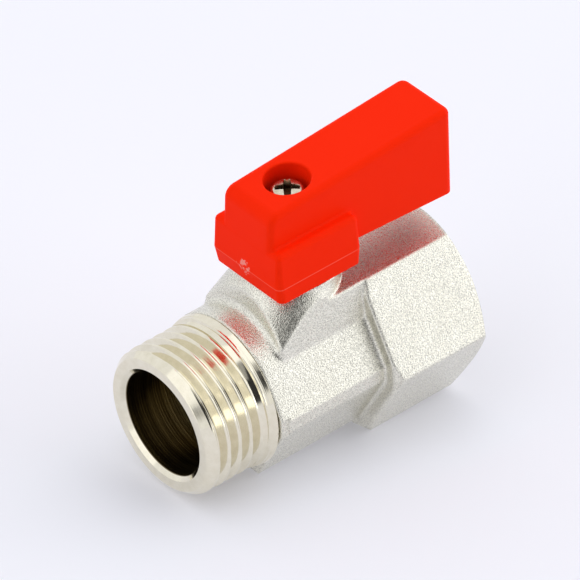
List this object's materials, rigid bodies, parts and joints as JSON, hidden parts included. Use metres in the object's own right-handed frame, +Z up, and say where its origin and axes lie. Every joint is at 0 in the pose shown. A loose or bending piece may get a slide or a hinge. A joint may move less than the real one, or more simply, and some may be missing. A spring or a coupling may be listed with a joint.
{
  "type": "mini ball valve",
  "caption": "Mini ball valve: forged nickel-plated body with a male threaded end, a female hexagon end and a short red quarter-turn lever on its neck.",
  "frame": {"origin": "centre of the ball, on the pipe axis and the stem axis", "axes": "+X along the pipe axis to the female hexagon end, +Z up the stem to the lever"},
  "size_m": [0.0462, 0.0288, 0.0424],
  "materials": {
    "blasted_nickel": "sand-blasted forged brass with nickel plating",
    "turned_nickel": "turned brass with nickel plating",
    "polished_ball": "polished brass with bright plating",
    "stem_brass": "turned",
    "red_plastic": "moulded, semi-matte",
    "screw_steel": "plated",
    "seat_plastic": "smooth white slippery plastic",
    "seal_rubber": "matt black"
  },
  "bodies": {
    "valve_body": {"valve_body": "blasted_nickel", "male_end": "turned_nickel", "seat_ring_male": "seat_plastic", "seat_ring_female": "seat_plastic"},
    "lever": {"lever_handle": "red_plastic", "handle_screw": "screw_steel", "stem": "stem_brass", "ball": "polished_ball", "thrust_washer": "seat_plastic", "lower_stem_seal": "seal_rubber", "upper_stem_seal": "seal_rubber"}
  },
  "joints": [
    {"name": "lever_turn", "type": "hinge", "parent": "valve_body", "child": "lever", "pos_m": [0, 0, 0], "axis": [0, 0, 1], "range_deg": [-90, 0]}
  ]
}
